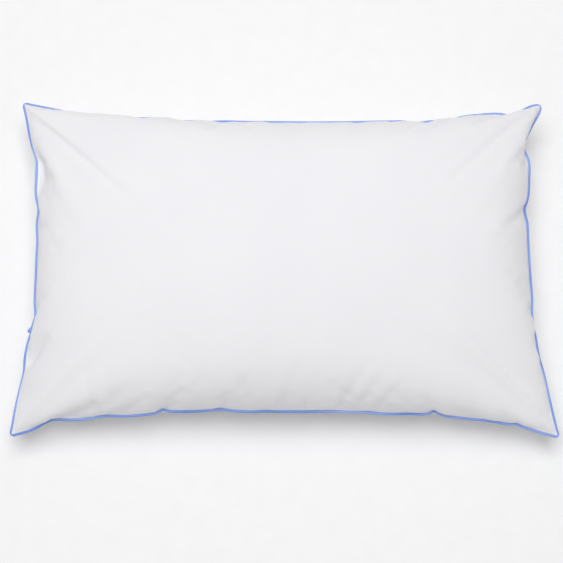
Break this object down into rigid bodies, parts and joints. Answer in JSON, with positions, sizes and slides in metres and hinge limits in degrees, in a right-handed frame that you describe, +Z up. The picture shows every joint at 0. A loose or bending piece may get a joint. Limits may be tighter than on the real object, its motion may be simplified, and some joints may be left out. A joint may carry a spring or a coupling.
{
  "type": "bed pillow",
  "caption": "Filled rectangular bed pillow: two cotton panels over a fibre fill, with a corded piping sewn into the seam all round.",
  "frame": {"origin": "on the surface the pillow lies on, under the centre of its outline", "axes": "+X along the long side, +Y towards the far long side with the closing seam, +Z up through the front panel"},
  "size_m": [0.7112, 0.463, 0.17],
  "materials": {
    "cotton_white": "matte percale weave",
    "piping_blue": "fine bias-cut cotton with a slight sheen",
    "cord_white": "soft twisted cotton",
    "fibre_fill": "matte loose fibre",
    "thread_white": "twisted sewing thread",
    "label_satin": "satin ribbon, blank"
  },
  "bodies": {
    "root": {"front_panel": "cotton_white", "back_panel": "cotton_white", "fill": "fibre_fill", "piping_cover": "piping_blue", "piping_cord": "cord_white", "seam_needle_thread": "thread_white", "seam_bobbin_thread": "thread_white", "overlock_thread": "thread_white", "closing_needle_thread": "thread_white", "closing_bobbin_thread": "thread_white", "care_label": "label_satin"}
  },
  "joints": []
}
